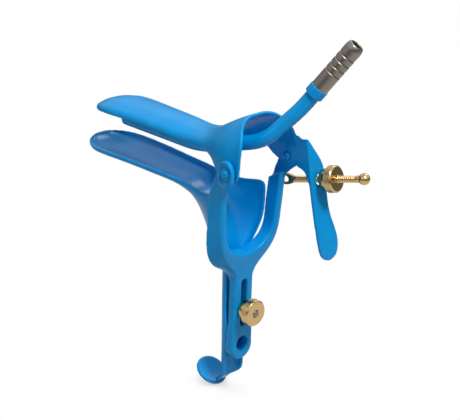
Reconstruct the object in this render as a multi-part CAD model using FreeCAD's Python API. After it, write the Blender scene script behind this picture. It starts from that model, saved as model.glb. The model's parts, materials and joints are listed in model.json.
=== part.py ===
# Bivalve speculum with a smoke tube, 115 x 35 mm blades, in millimetres.
# X runs across (the lever is on +X), Y points forward to the blade tips, Z points up.
# Pieces are made about the pivot axis, then all are moved to stand on the hook's lowest point.
import FreeCAD, Part
import math
import os
from FreeCAD import Vector

# Blades
blade_sheet = 1.9
blade_wide_y = 112.0         # where both blades are widest
waist_y = 46.0
nose_length = 20.5
nose_power = 2.3
nose_stations = (0.0, 0.3, 0.55, 0.75, 0.89, 0.97, 0.995)
upper_stations = (0.75, 0.49, 0.26, 0.0)        # shares of the way from the waist to the nose
lower_stations = (0.775, 0.535, 0.32, 0.107)

# Upper blade
upper_reach = 136.0          # pivot axis to the tip
upper_half_width = 18.9
upper_waist_half_width = 15.4
upper_edge_z = 6.9
upper_waist_edge_z = 4.4
upper_tip_z = 5.6
upper_arch = 6.4
upper_waist_arch = 8.2
flare_top_z = 31.0
flare_top_y = 2.6
flare_back_y = -7.6
upper_flare = (
    # edge y, crest y, spread, crest rise, edge drop
    (36.0, 36.0, 0.13, 0.10, 0.02),
    (27.0, 27.0, 0.38, 0.32, 0.10),
    (18.5, 18.5, 0.70, 0.58, 0.55),
    (10.0, 11.0, 0.93, 0.80, 0.85),
    (2.0, 3.5, 1.00, 1.00, 1.00),
    (-11.0, -7.0, 1.00, 1.24, 1.00),
)
flange_outer_x = 26.2
flange_sheet = 2.0
flange_drop = 6.2
flange_skirt_z = -9.0

# Lower blade and its stem
lower_reach = 141.3
lower_half_width = 20.4
lower_waist_half_width = 16.6
lower_tip_z = -14.6
lower_edge_z = -17.0         # at the widest point
lower_waist_edge_z = -20.2
lower_depth = 6.0
lower_waist_depth = 8.2
flare_half_width = 23.0
flare_corner_z = -20.6
guide_y = 14.5               # plane where the yoke slides on the lower blade
guide_gap = 0.2
stem_half_width = 8.3
stem_web_y = 21.4            # web's front face at the stem's top
stem_foot_web_y = 19.2
stem_relief = 1.5            # the channel's walls stand back from the yoke here
stem_top_z = -70.0
stem_foot_z = -145.4
stem_foot_radius = 8.0
hook_half_width = 4.2
hook_sheet = 2.2
hook_bottom_y = 29.2
hook_bottom_z = -152.6
rest_radius = 10.3
rest_tilt = 34.7
rest_centre_y = 33.8
rest_centre_z = -147.0
rest_dish = 0.8

# Yoke
arm_outer_x = 28.4
arm_back_y = 2.8
arm_round = 1.9
arm_front_y = 14.3
arm_top_z = -10.8
arm_top_front_z = -17.0
bow_foot_z = -57.6           # bottom of the opening between the arms, at the front
ear_radius = 8.1
ear_gap = 0.2
ear_bead = 1.1
yoke_stem_half_width = 7.8
yoke_stem_thick = 6.5
neck_foot_z = -76.0
slot_clearance = 0.2
slot_top_z = -76.5
slot_foot_z = -107.5
pad_half_width = 8.9
pad_top_z = -109.0
pad_foot_z = -130.0
pad_hole_radius = 4.8
pad_hole_z = -119.4

# Pivot rivets
rivet_radius = 2.0
rivet_head_radius = 4.0
rivet_head_height = 2.1
rivet_tail_radius = 2.5
rivet_tail_height = 1.7
rivet_tail_lift = 0.42       # the flange's inner face bulges this much
running_gap = 0.06

# Stem stud and both knurled nuts
thread_radius = 2.25
thread_gap = 0.06
stud_z = -96.0
stud_head_radius = 3.8
stud_head_height = 1.4
stud_proud = 0.4
nut_radius = 8.3
nut_ring = 5.3
nut_boss = 5.3
nut_boss_foot_radius = 6.8
nut_boss_face_radius = 4.3
nut_chamfer = 0.5

# Thumb lever
lever_sheet = 2.2
lever_top_z = 14.0
lever_top_y = -15.3
lever_lean = 0.2             # rearward drop of the upper strip, per mm down
lever_bend_z = -20.0
lever_outer_x = 37.3
paddle_x = 33.6
paddle_half_width = 8.3
paddle_y = -28.6
paddle_bend_z = -48.0
paddle_foot_z = -61.0
lever_hole_clearance = 1.05
lever_hole_run = 8.0         # how far the nut's seat travels along the rod in the full tilt

# Screw rod, its eye and pin
rod_pin_y = 10.5
rod_pin_z = -18.5
rod_pin_radius = 1.5
rod_pin_head_radius = 2.4
rod_pin_head = 1.2
rod_pin_depth = 4.0
rod_rise = 12.9              # degrees above level, to the rear
rod_turn = 9.7               # degrees outward from the eye
eye_sheet = 2.4
eye_gap = 0.3
eye_half_height = 3.4
eye_slot_radius = 2.0
eye_slot_end = 8.4
eye_length = 15.0
rod_end = 58.6
knob_radius = 3.6
nut_seat_gap = 0.82

# Smoke tube, collar and hose nipple
tube_radius = 4.5
tube_wall = 0.9
tube_start = Vector(-9.6, 106.0, 4.9)
tube_dip = Vector(-8.95, 40.0, 3.35)
tube_rise = Vector(-7.3, 13.0, 11.0)
tube_knee = Vector(-1.0, -4.0, 15.5)
tube_shoulder = Vector(13.5, -19.0, 36.0)
tube_end = Vector(18.2, -26.1, 47.5)
collar_radius = 5.85
collar_length = 6.0
nipple_radius = 5.45
nipple_length = 33.6
nipple_bore_radius = 3.6
nipple_neck = 11.4
groove_count = 4
groove_pitch = 4.3
groove_width = 1.6
groove_depth = 0.55
nipple_chamfer = 2.8
nipple_nose_radius = 4.7


def at(y, z, x=0.0):
    return Vector(x, y, z)


def prism(points, axis, length):
    wire = Part.makePolygon(list(points) + [points[0]])
    return Part.Face(wire).extrude(axis * length)


def cylinder(radius, start, end):
    span = end - start
    return Part.makeCylinder(radius, span.Length, start, span)


def turned(profile, origin, axis):
    """Revolve (radius, distance) points about the axis through the origin."""
    points = [Vector(r, 0, d) for r, d in profile]
    face = Part.Face(Part.makePolygon(points + [points[0]]))
    solid = face.revolve(Vector(0, 0, 0), Vector(0, 0, 1), 360)
    turn = FreeCAD.Rotation(Vector(0, 0, 1), axis)
    solid.Placement = FreeCAD.Placement(origin, turn)
    return solid


def dome(radius, height, origin, axis):
    """A rivet's low round head, flat side at the origin."""
    ball_radius = (radius * radius + height * height) / (2 * height)
    centre = origin - axis * (ball_radius - height)
    ball = Part.makeSphere(ball_radius, centre)
    return ball.common(cylinder(radius, origin, origin + axis * height))


def smooth(t):
    t = min(max(t, 0.0), 1.0)
    return t * t * (3 - 2 * t)


def channel(edge, crest, half_width, corner, straight, wall, filled=False):
    """One closed sheet section: two side walls joined by a round-cornered web.

    edge and crest are (y, z) of the free edges and of the web's outer face,
    corner is how far each corner reaches across, and straight how far each
    side wall runs before its corner starts.
    """
    depth_dir = Vector(0, crest[0] - edge[0], crest[1] - edge[1])
    depth = depth_dir.Length
    depth_dir.normalize()
    origin = Vector(0, edge[0], edge[1])

    def spot(x, d):
        return origin + Vector(x, 0, 0) + depth_dir * d

    def side(reach, deep, across):
        flat = reach - across
        fall = deep - straight
        mid = math.sqrt(0.5)
        left_mid = spot(-flat - across * mid, straight + fall * mid)
        right_mid = spot(flat + across * mid, straight + fall * mid)
        return [
            ("line", spot(-reach, 0), spot(-reach, straight)),
            ("corner", spot(-reach, straight), left_mid, spot(-flat, deep), -1),
            ("line", spot(-flat, deep), spot(flat, deep)),
            ("corner", spot(flat, deep), right_mid, spot(reach, straight), 1),
            ("line", spot(reach, straight), spot(reach, 0)),
        ]

    def edges(rows):
        made = []
        for row in rows:
            if row[0] == "line":
                made.append(Part.LineSegment(row[1], row[2]).toShape())
                continue
            curve = Part.BSplineCurve()
            across = Vector(row[4], 0, 0)
            if row[4] < 0:
                tangents = [depth_dir, Vector(1, 0, 0)]
            else:
                tangents = [across, depth_dir * -1]
            curve.interpolate([row[1], row[2], row[3]], InitialTangent=tangents[0],
                              FinalTangent=tangents[1])
            made.append(curve.toShape())
        return made

    outer = edges(side(half_width, depth, corner))
    if filled:
        lid = Part.LineSegment(spot(half_width, 0), spot(-half_width, 0)).toShape()
        return Part.Wire(Part.__sortEdges__(outer + [lid]))
    inner = edges(side(half_width - wall, depth - wall, max(corner - wall, 0.3)))
    rims = [
        Part.LineSegment(spot(half_width, 0), spot(half_width - wall, 0)).toShape(),
        Part.LineSegment(spot(-half_width + wall, 0), spot(-half_width, 0)).toShape(),
    ]
    backward = []
    for edge_shape in reversed(inner):
        backward.append(edge_shape)
    return Part.Wire(Part.__sortEdges__(outer + [rims[0]] + backward + [rims[1]]))


def loft(sections):
    return Part.makeLoft(sections, True, False)


def rounded_bar(half_x, back, front, z, radius):
    """A flat rounded rectangle at height z, as a wire."""
    left, right = -half_x, half_x
    r = min(radius, (front - back) / 2 - 0.05, half_x - 0.05)
    k = r * (1 - math.sqrt(0.5))
    corners = [
        (Vector(left + r, back, z), Vector(right - r, back, z)),
        (Vector(right - r, back, z), Vector(right - k, back + k, z), Vector(right, back + r, z)),
        (Vector(right, back + r, z), Vector(right, front - r, z)),
        (Vector(right, front - r, z), Vector(right - k, front - k, z), Vector(right - r, front, z)),
        (Vector(right - r, front, z), Vector(left + r, front, z)),
        (Vector(left + r, front, z), Vector(left + k, front - k, z), Vector(left, front - r, z)),
        (Vector(left, front - r, z), Vector(left, back + r, z)),
        (Vector(left, back + r, z), Vector(left + k, back + k, z), Vector(left + r, back, z)),
    ]
    made = []
    for row in corners:
        if len(row) == 2:
            made.append(Part.LineSegment(*row).toShape())
        else:
            made.append(Part.Arc(*row).toShape())
    return Part.Wire(made)


def nose_share(q):
    """Share of the full width left at q, from the nose's start (0) to its end (1)."""
    return math.sqrt(max(1 - q ** nose_power, 0.0))


def nose(reach, half_width, edge_z, tip_z, depth):
    """Sections from the tip back to the nose's start; depth is signed, up or down."""
    rows = []
    for q in reversed(nose_stations):
        y = reach - nose_length * (1 - q)
        left = nose_share(q)
        z = edge_z + (tip_z - edge_z) * q * q
        least = blade_sheet * 1.35 * math.copysign(1, depth)
        deep = depth * left if abs(depth * left) > abs(least) else least
        half = max(half_width * left, 3.0)
        rows.append(((y, z), (y, z + deep), half, half * 0.9, 0.3))
    return rows


def upper_sections():
    rows = nose(upper_reach, upper_half_width, upper_edge_z, upper_tip_z, upper_arch)
    for share in upper_stations:
        y = waist_y + (upper_reach - nose_length - waist_y) * share
        t = (blade_wide_y - y) / (blade_wide_y - waist_y)
        half = upper_half_width + (upper_waist_half_width - upper_half_width) * t
        z = upper_edge_z + (upper_waist_edge_z - upper_edge_z) * t * t
        arch = upper_arch + (upper_waist_arch - upper_arch) * t ** 4
        rows.append(((y, z), (y, z + arch), half, half * 0.9, 0.3))
    waist_crest = upper_waist_edge_z + upper_waist_arch
    wide = flange_outer_x - upper_waist_half_width
    for edge_y, crest_y, spread, rise, drop in upper_flare:
        half = upper_waist_half_width + wide * spread
        crest_z = waist_crest + (flare_top_z - waist_crest) * rise
        edge_z = upper_waist_edge_z + (flange_skirt_z - upper_waist_edge_z) * drop
        rows.append(((edge_y, edge_z), (crest_y, crest_z), half, half * 0.9, 0.3 + 12.0 * drop))
    return rows


def upper_blade():
    rows = upper_sections()
    wires = []
    for edge, crest, half, corner, straight in rows:
        wires.append(channel(edge, crest, half, corner, straight, blade_sheet))
    tip = []
    for edge, crest, half, corner, straight in rows[:3]:
        tip.append(channel(edge, crest, half, corner, straight, blade_sheet, True))
    body = fuse([loft(wires), Part.makeLoft(tip, True, True)])
    body = body.cut(flange_foot()).cut(flare_rear())
    reach = flange_outer_x + 5
    hole = cylinder(rivet_radius + running_gap, Vector(-reach, 0, 0), Vector(reach, 0, 0))
    return body.cut(hole)


def flange_foot():
    """Block under the flanges; its top edge rounds the pivot and runs up to the blade's edge."""
    low = -40.0
    foot = -flange_drop
    heel = flare_back_y - 0.2
    curve = Part.BSplineCurve()
    curve.interpolate([at(heel, 0.0), at(-6.2, foot + 2.9), at(-2.9, foot + 0.5), at(0.6, foot),
                       at(3.6, foot + 1.1), at(8.2, foot + 3.4), at(12.0, foot + 5.8),
                       at(14.6, foot + 8.4), at(17.4, foot + 10.5), at(21.0, foot + 11.6),
                       at(29.0, foot + 11.2), at(waist_y, foot + 10.4)])
    side = [
        curve.toShape(),
        Part.LineSegment(at(waist_y, foot + 10.4), at(waist_y, low)).toShape(),
        Part.LineSegment(at(waist_y, low), at(heel - 10, low)).toShape(),
        Part.LineSegment(at(heel - 10, low), at(heel - 10, 0.0)).toShape(),
        Part.LineSegment(at(heel - 10, 0.0), at(heel, 0.0)).toShape(),
    ]
    block = Part.Face(Part.Wire(side)).extrude(Vector(100, 0, 0))
    block.translate(Vector(-50, 0, 0))
    return block


def flare_rear():
    """Everything behind the flare's rear rim, which leans forward over the top."""
    top = flare_top_z
    curve = Part.BSplineCurve()
    curve.interpolate([at(flare_back_y, -30.0), at(flare_back_y, 0.0), at(flare_back_y, 12.0),
                       at(flare_back_y + 1.2, 18.0), at(flare_back_y + 4.4, 24.2),
                       at(flare_top_y, top), at(flare_top_y + 6.0, top + 6.0)])
    far = flare_back_y - 30
    side = [
        curve.toShape(),
        Part.LineSegment(at(flare_top_y + 6.0, top + 6.0), at(flare_top_y + 6.0, top + 30)).toShape(),
        Part.LineSegment(at(flare_top_y + 6.0, top + 30), at(far, top + 30)).toShape(),
        Part.LineSegment(at(far, top + 30), at(far, -30.0)).toShape(),
        Part.LineSegment(at(far, -30.0), at(flare_back_y, -30.0)).toShape(),
    ]
    block = Part.Face(Part.Wire(side)).extrude(Vector(100, 0, 0))
    block.translate(Vector(-50, 0, 0))
    return block


def lower_blade():
    rows = nose(lower_reach, lower_half_width, lower_edge_z, lower_tip_z, -lower_depth)
    tip = rows[:3]
    for share in lower_stations:
        y = waist_y + (lower_reach - nose_length - waist_y) * share
        t = (blade_wide_y - y) / (blade_wide_y - waist_y)
        half = lower_half_width + (lower_waist_half_width - lower_half_width) * t
        z = lower_waist_edge_z + (lower_edge_z - lower_waist_edge_z) * (1 - t) ** 0.65
        depth = lower_depth + (lower_waist_depth - lower_depth) * t ** 4
        rows.append(((y, z), (y, z - depth), half, half * 0.9, 0.3))
    back = guide_y + guide_gap
    corner = flare_corner_z
    floor_z = lower_waist_edge_z - lower_waist_depth
    turn = [
        # turn share, edge y and z, half width, corner share, straight wall
        (0.00, waist_y, lower_waist_edge_z, 16.6, 0.88, 0.5),
        (0.16, 36.0, lower_waist_edge_z - 0.8, 18.0, 0.85, 0.8),
        (0.30, 26.0, lower_waist_edge_z - 0.4, 20.6, 0.82, 1.2),
        (0.44, back + 2.0, corner, flare_half_width, 0.80, 1.5),
        (0.57, back, corner - 7.6, flare_half_width, 0.80, 1.5),
        (0.68, back, corner - 17.4, flare_half_width - 0.6, 0.80, 1.2),
        (0.79, back + 0.1, corner - 27.6, 18.4, 0.78, 1.0),
        (0.90, back + 0.5, corner - 37.6, 12.0, 0.70, 0.8),
        (1.00, guide_y + stem_relief, stem_top_z, stem_half_width, 0.34, 0.6),
    ]
    for share, edge_y, edge_z, half, corner_share, straight in turn:
        angle = math.radians(90 * share)
        crest_y = stem_web_y + (waist_y + 3 - stem_web_y) * (1 - math.sin(angle) ** 1.25)
        crest_z = floor_z - 0.6 + (stem_top_z - floor_z + 0.6) * (1 - math.cos(angle) ** 1.25)
        rows.append(((edge_y, edge_z), (crest_y, crest_z), half, half * corner_share, straight))
    wires = []
    for edge, crest, half, corner_reach, straight in rows:
        wires.append(channel(edge, crest, half, corner_reach, straight, blade_sheet))
    ends = []
    for edge, crest, half, corner_reach, straight in tip:
        ends.append(channel(edge, crest, half, corner_reach, straight, blade_sheet, True))
    whole = fuse([loft(wires), Part.makeLoft(ends, True, True), lower_stem(), hook()])
    return whole.cut(stud_hole())


def web_y(z):
    """Front face of the stem's web, which leans forward to the top."""
    return stem_foot_web_y + (stem_web_y - stem_foot_web_y) * (z - stem_foot_z) / (stem_top_z - stem_foot_z)


def lower_stem():
    """The straight channel under the blade, its walls coming back to the guide plane."""
    rows = [
        (stem_top_z, guide_y + stem_relief),
        (stud_z, guide_y + stem_relief),
        (pad_top_z, guide_y),
        (stem_foot_z, guide_y),
    ]
    wires = []
    for z, edge_y in rows:
        wires.append(channel((edge_y, z), (web_y(z), z), stem_half_width,
                             stem_half_width * 0.34, 0.6, blade_sheet))
    body = Part.makeLoft(wires, True, True)
    r = stem_foot_radius
    corner = prism([at(guide_y - 1, stem_foot_z - 1), at(guide_y + r, stem_foot_z - 1),
                    at(guide_y + r, stem_foot_z + r), at(guide_y - 1, stem_foot_z + r)],
                   Vector(1, 0, 0), 60)
    corner.translate(Vector(-30, 0, 0))
    centre = at(guide_y + r, stem_foot_z + r)
    corner = corner.cut(cylinder(r, centre + Vector(-30, 0, 0), centre + Vector(30, 0, 0)))
    return body.cut(corner)


def hook():
    """The strip that runs on from the stem's web and curls forward to a round, dished thumb rest."""
    half = hook_sheet / 2
    tilt = math.radians(rest_tilt)
    along = at(math.cos(tilt), math.sin(tilt))
    up = at(-math.sin(tilt), math.cos(tilt))
    centre = at(rest_centre_y, rest_centre_z)
    start_z = stem_foot_z + 14
    start = at(web_y(start_z) - blade_sheet + half - 0.2, start_z)
    middle = Part.BSplineCurve()
    points = [start, at(web_y(stem_foot_z) - 0.1, stem_foot_z + 3.4),
              at(hook_bottom_y - 4.9, hook_bottom_z + 4.6), at(hook_bottom_y, hook_bottom_z + 1.15),
              centre]
    middle.interpolate(points, InitialTangent=at(0, -1), FinalTangent=along)
    steps = 10
    first, last = middle.FirstParameter, middle.LastParameter
    front, rear = [], []
    for i in range(steps + 1):
        u = first + (last - first) * i / steps
        spot = middle.value(u)
        direction = Vector(*middle.tangent(u)[0])
        side = direction.cross(Vector(1, 0, 0))
        side.normalize()
        front.append(spot + side * half)
        rear.append(spot - side * half)
    edges = []
    for row in (front, rear):
        curve = Part.BSplineCurve()
        curve.interpolate(row)
        edges.append(curve.toShape())
    edges.append(Part.LineSegment(front[0], rear[0]).toShape())
    edges.append(Part.LineSegment(front[-1], rear[-1]).toShape())
    strip = Part.Face(Part.Wire(Part.__sortEdges__(edges))).extrude(Vector(2 * hook_half_width, 0, 0))
    strip.translate(Vector(-hook_half_width, 0, 0))
    disc = cylinder(rest_radius, centre - up * half, centre + up * half)
    reach = (rest_radius - 1.2) ** 2
    ball_radius = (reach + rest_dish * rest_dish) / (2 * rest_dish)
    ball = Part.makeSphere(ball_radius, centre + up * (half + ball_radius - rest_dish))
    dish = ball.common(cylinder(rest_radius - 0.6, centre - up * half, centre + up * 2))
    return fuse([strip, disc]).cut(dish)


def stud_hole():
    return cylinder(thread_radius, at(guide_y, stud_z), at(stem_web_y + 2, stud_z))


def fuse(shapes):
    whole = shapes[0]
    for shape in shapes[1:]:
        whole = whole.fuse(shape)
    return whole


def stem_stud():
    web_face = at(web_y(stud_z), stud_z)
    end = at(nut_back_y() - stud_proud, stud_z)
    slope = (stem_web_y - stem_foot_web_y) / (stem_top_z - stem_foot_z)
    outward = at(1.0, -slope)
    outward.normalize()
    head = dome(stud_head_radius, stud_head_height, web_face + outward * 0.02, outward)
    return fuse([cylinder(thread_radius, web_face, end), head])


def yoke_back_y():
    return guide_y - yoke_stem_thick


def nut_back_y():
    return yoke_back_y() - nut_boss - nut_ring


def knurled_nut(seat, axis):
    """Turned nut: flat seat at the seat point, domed boss, then the wide ring."""
    bore = thread_radius + thread_gap
    profile = [(bore, 0.0), (nut_boss_face_radius, 0.0)]
    for i in range(1, 6):
        angle = math.radians(90 * i / 5)
        r = nut_boss_face_radius + (nut_boss_foot_radius - nut_boss_face_radius) * math.sin(angle)
        profile.append((r, nut_boss * (1 - math.cos(angle)) * 0.8))
    length = nut_boss + nut_ring
    profile += [
        (nut_boss_foot_radius, nut_boss),
        (nut_radius - nut_chamfer, nut_boss),
        (nut_radius, nut_boss + nut_chamfer),
        (nut_radius, length - nut_chamfer),
        (nut_radius - nut_chamfer, length),
        (bore, length),
    ]
    return turned(profile, seat, axis)


def stem_nut():
    return knurled_nut(at(yoke_back_y(), stud_z), Vector(0, -1, 0))


def ear(side):
    """Thin round plate about the pivot with a raised bead, running down into the arm."""
    inner = flange_outer_x + ear_gap
    thick = arm_outer_x - inner
    r = ear_radius
    disc = Part.Face(Part.Wire(Part.makeCircle(r, Vector(0, 0, 0), Vector(1, 0, 0))))
    flank = Part.Face(Part.makePolygon([
        at(r * 0.97, r * 0.24), at(arm_front_y - 2.2, -10.0), at(arm_front_y, arm_top_front_z - 2),
        at(arm_front_y, -30.0), at(arm_back_y + 2, -30.0), at(arm_back_y + 0.5, arm_top_z - 3),
        at(0.0, arm_top_z + 0.6), at(-r * 0.45, -r * 0.89), at(r * 0.97, r * 0.24),
    ]))
    pieces = []
    for face in (disc, flank):
        plate = face.extrude(Vector(thick, 0, 0))
        plate.translate(Vector(inner if side > 0 else -arm_outer_x, 0, 0))
        pieces.append(plate)
    bead = Part.makeTorus(r - ear_bead, ear_bead, Vector(side * arm_outer_x, 0, 0), Vector(1, 0, 0))
    cap = cylinder(r + 1, Vector(side * (arm_outer_x - 0.4), 0, 0),
                   Vector(side * (arm_outer_x + 3), 0, 0))
    pieces.append(bead.common(cap))
    return pieces


def half_outline(points, y):
    """Mirror a run of (x, z) points into one smooth closed outline in a plane of constant y."""
    right = Part.BSplineCurve()
    right.interpolate([Vector(x, y, z) for x, z in points])
    left = Part.BSplineCurve()
    left.interpolate([Vector(-x, y, z) for x, z in reversed(points)])
    top, low = points[0], points[-1]
    rows = [right.toShape()]
    if low[0] > 0:
        rows.append(Part.LineSegment(Vector(low[0], y, low[1]), Vector(-low[0], y, low[1])).toShape())
    rows.append(left.toShape())
    rows.append(Part.LineSegment(Vector(-top[0], y, top[1]), Vector(top[0], y, top[1])).toShape())
    return Part.Wire(rows)


def bow():
    """Both arms and the web under them: drafted sides, wide at the front and narrow at the back."""
    x = arm_outer_x
    foot = bow_foot_z
    stem = yoke_stem_half_width
    front = half_outline([(x, -8.0), (x, -30.0), (x - 0.1, -47.0), (x - 1.6, -56.0), (21.4, -64.0),
                          (14.0, -68.6), (9.2, -73.2), (stem, neck_foot_z - 2)], arm_front_y)
    back = half_outline([(x - 1.8, -8.0), (x - 1.8, -25.0), (x - 3.4, -38.0), (22.4, -48.0),
                         (18.0, -55.2), (12.6, -61.4), (9.0, -67.2), (stem, neck_foot_z - 2)], 0.0)
    body = Part.makeLoft([front, back], True, True)
    inner_front = half_outline([(24.3, 4.0), (24.3, -16.0), (22.7, -27.0), (21.7, -38.0),
                                (20.4, -46.0), (16.4, -52.0), (9.4, foot + 2.0), (0.0, foot)], 15.5)
    inner_back = half_outline([(21.2, 4.0), (21.2, -16.0), (21.0, -27.0), (20.6, -36.0),
                               (19.0, -45.0), (15.0, -52.6), (8.6, foot - 0.6), (0.0, foot - 2.4)], -1.0)
    opening = Part.makeLoft([inner_front, inner_back], True, True)
    low = neck_foot_z - 2
    curve = Part.BSplineCurve()
    curve.interpolate([at(arm_back_y, arm_top_z), at(arm_back_y + 0.3, -22.0), at(4.1, -41.0),
                       at(5.0, -54.0), at(7.2, -66.0), at(yoke_back_y(), low)])
    side = Part.Face(Part.Wire([
        curve.toShape(),
        Part.LineSegment(at(yoke_back_y(), low), at(arm_front_y, low)).toShape(),
        Part.LineSegment(at(arm_front_y, low), at(arm_front_y, arm_top_front_z)).toShape(),
        Part.LineSegment(at(arm_front_y, arm_top_front_z), at(arm_back_y, arm_top_z)).toShape(),
    ]))
    slab = side.extrude(Vector(80, 0, 0))
    slab.translate(Vector(-40, 0, 0))
    body = body.common(slab).cut(opening)
    rear = []
    for edge in body.Edges:
        mid = edge.valueAt((edge.FirstParameter + edge.LastParameter) / 2)
        ends = [v.Point for v in edge.Vertexes]
        span = max(p.z for p in ends) - min(p.z for p in ends)
        if mid.y < yoke_back_y() - 0.2 and span > 5 and mid.z > low + 2:
            rear.append(edge)
    return body.makeFillet(arm_round, rear)


def yoke():
    back = yoke_back_y()
    stem = [rounded_bar(yoke_stem_half_width, back, guide_y, neck_foot_z + 1, arm_round),
            rounded_bar(yoke_stem_half_width, back, guide_y, pad_top_z + 4, arm_round),
            rounded_bar(pad_half_width, back, guide_y, pad_top_z - 3, arm_round),
            rounded_bar(pad_half_width, back, guide_y, pad_foot_z + pad_half_width, arm_round)]
    pad_centre = at(guide_y, pad_foot_z + pad_half_width)
    round_foot = cylinder(pad_half_width, pad_centre, at(back, pad_centre.z))
    soft = round_foot.makeFillet(arm_round * 0.8, [round_edge(round_foot, back)])
    body = fuse([bow(), Part.makeLoft(stem, True, True), soft] + ear(1) + ear(-1))
    reach = arm_outer_x + 5
    cuts = [
        cylinder(rivet_radius, Vector(-reach, 0, 0), Vector(reach, 0, 0)),
        cylinder(pad_hole_radius, at(back - 5, pad_hole_z), at(guide_y + 5, pad_hole_z)),
        cylinder(rod_pin_radius, rod_pin_seat(-rod_pin_depth), rod_pin_seat(5)),
        slot(),
    ]
    for cut in cuts:
        body = body.cut(cut)
    return body


def round_edge(shape, y):
    for edge in shape.Edges:
        if edge.Closed and abs(edge.CenterOfMass.y - y) < 0.01:
            return edge


def slot():
    half = thread_radius + slot_clearance
    low, high = slot_foot_z + half, slot_top_z - half
    front, back = guide_y + 1, yoke_back_y() - 12
    bar = prism([Vector(-half, front, low), Vector(half, front, low), Vector(half, front, high),
                 Vector(-half, front, high)], Vector(0, -1, 0), front - back)
    ends = [cylinder(half, at(front, z), at(back, z)) for z in (low, high)]
    return fuse([bar] + ends)


def pivot_rivet(side):
    outer = arm_outer_x * side
    inner = (flange_outer_x - blade_sheet - rivet_tail_lift) * side
    axis = Vector(side, 0, 0)
    shank = cylinder(rivet_radius, Vector(inner, 0, 0), Vector(outer, 0, 0))
    head = dome(rivet_head_radius, rivet_head_height, Vector(outer, 0, 0), axis)
    tail = dome(rivet_tail_radius, rivet_tail_height, Vector(inner, 0, 0), axis * -1)
    return fuse([shank, head, tail])


def lever_seat():
    """Where the rod's axis meets the lever strip's rear face, as y and z."""
    slope = math.tan(math.radians(rod_rise))
    # y = lever_top_y - lean * (top - z) and z = pin_z + slope * (pin_y - y)
    y = lever_top_y - lever_lean * (lever_top_z - rod_pin_z - slope * rod_pin_y)
    y = y / (1 + lever_lean * slope)
    return y, rod_pin_z + slope * (rod_pin_y - y)


def rod_line(distance):
    """A point on the rod's axis, at a distance from the pin in the YZ plane."""
    rise = math.radians(rod_rise)
    bend = max(distance - eye_length + 2, 0.0)
    x = arm_outer_x + eye_gap + eye_sheet / 2 + bend * math.tan(math.radians(rod_turn))
    return Vector(x, rod_pin_y - distance * math.cos(rise), rod_pin_z + distance * math.sin(rise))


def seat_distance():
    y, z = lever_seat()
    return math.hypot(rod_pin_y - y, z - rod_pin_z)


def thumb_lever():
    """Side plate on the blade's flange, folded into the strip that the nut pushes."""
    inner_x = flange_outer_x - flange_sheet
    bend_y = lever_top_y - lever_lean * (lever_top_z - lever_bend_z)
    back = Part.BSplineCurve()
    back.interpolate([
        at(lever_top_y, lever_top_z), at((lever_top_y + bend_y) / 2, (lever_top_z + lever_bend_z) / 2),
        at(bend_y, lever_bend_z), at(paddle_y, paddle_bend_z), at(paddle_y - 2.6, paddle_foot_z - 4),
    ])
    back_edge = back.toShape()
    front_edge = back_edge.copy()
    front_edge.translate(at(lever_sheet, 0))
    ends = [
        Part.LineSegment(back_edge.Vertexes[0].Point, front_edge.Vertexes[0].Point).toShape(),
        Part.LineSegment(back_edge.Vertexes[1].Point, front_edge.Vertexes[1].Point).toShape(),
    ]
    side = Part.Face(Part.Wire(Part.__sortEdges__([back_edge, ends[0], front_edge, ends[1]])))
    side.translate(Vector(-10, 0, 0))
    strip = side.extrude(Vector(60, 0, 0)).common(lever_front())
    low = lever_top_z - 30
    heel = lever_top_y - lever_lean * 30
    plate_face = Part.Face(Part.makePolygon([
        at(flare_back_y + 1, 15.4), at(flare_back_y - 1.6, 13.4), at(-11.8, 13.3),
        at(lever_top_y, lever_top_z), at(heel, low), at(heel + 1.6, low),
        at(-17.2, -11.6), at(-15.0, -7.9), at(-12.1, -6.1), at(-9.6, -5.6),
        at(flare_back_y + 1, -5.0), at(flare_back_y + 1, 15.4),
    ]))
    plate = plate_face.extrude(Vector(flange_sheet, 0, 0))
    plate.translate(Vector(inner_x, 0, 0))
    plate = plate.common(flare_rear())
    body = fuse([strip, plate])
    return body.cut(lever_hole())


def lever_front():
    """The strip's outline seen from the rear, as a thick block to trim it with."""
    inner = flange_outer_x - flange_sheet
    outer = lever_outer_x
    x = paddle_x
    half = paddle_half_width
    foot = paddle_foot_z
    top = lever_top_z
    curve = Part.BSplineCurve()
    curve.interpolate([
        Vector(inner, 0, foot + 23), Vector(inner + 0.4, 0, foot + 15), Vector(x - half, 0, foot + 9),
        Vector(x - half * 0.72, 0, foot + 2.6), Vector(x, 0, foot), Vector(x + half * 0.72, 0, foot + 2.6),
        Vector(x + half, 0, foot + 9), Vector(x + half - 0.6, 0, foot + 16),
        Vector(outer + 0.9, 0, foot + 27), Vector(outer, 0, foot + 41), Vector(outer - 0.3, 0, -8.0),
        Vector(outer - 2.0, 0, -1.0), Vector(outer - 6.0, 0, 5.6), Vector(inner + 3.0, 0, 12.4),
        Vector(inner + 1.8, 0, top),
    ])
    edges = [
        curve.toShape(),
        Part.LineSegment(Vector(inner + 1.8, 0, top), Vector(inner, 0, top)).toShape(),
        Part.LineSegment(Vector(inner, 0, top), Vector(inner, 0, foot + 23)).toShape(),
    ]
    face = Part.Face(Part.Wire(edges))
    face.translate(at(20, 0))
    return face.extrude(at(-80, 0))


def lever_hole():
    """Oval hole that lets the rod swing and drift across while the lever tilts."""
    distance = seat_distance()
    drift = lever_hole_run * math.tan(math.radians(rod_turn)) / 2
    radius = thread_radius + lever_hole_clearance
    rise = math.radians(rod_rise)
    axis = at(-math.cos(rise), math.sin(rise))
    centre = rod_line(distance)
    cuts = []
    for shift in (-drift - 0.3, 0.0, drift - 0.1):
        middle = centre + Vector(shift, 0, 0)
        cuts.append(cylinder(radius, middle - axis * 9, middle + axis * 9))
    return fuse(cuts)


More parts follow.
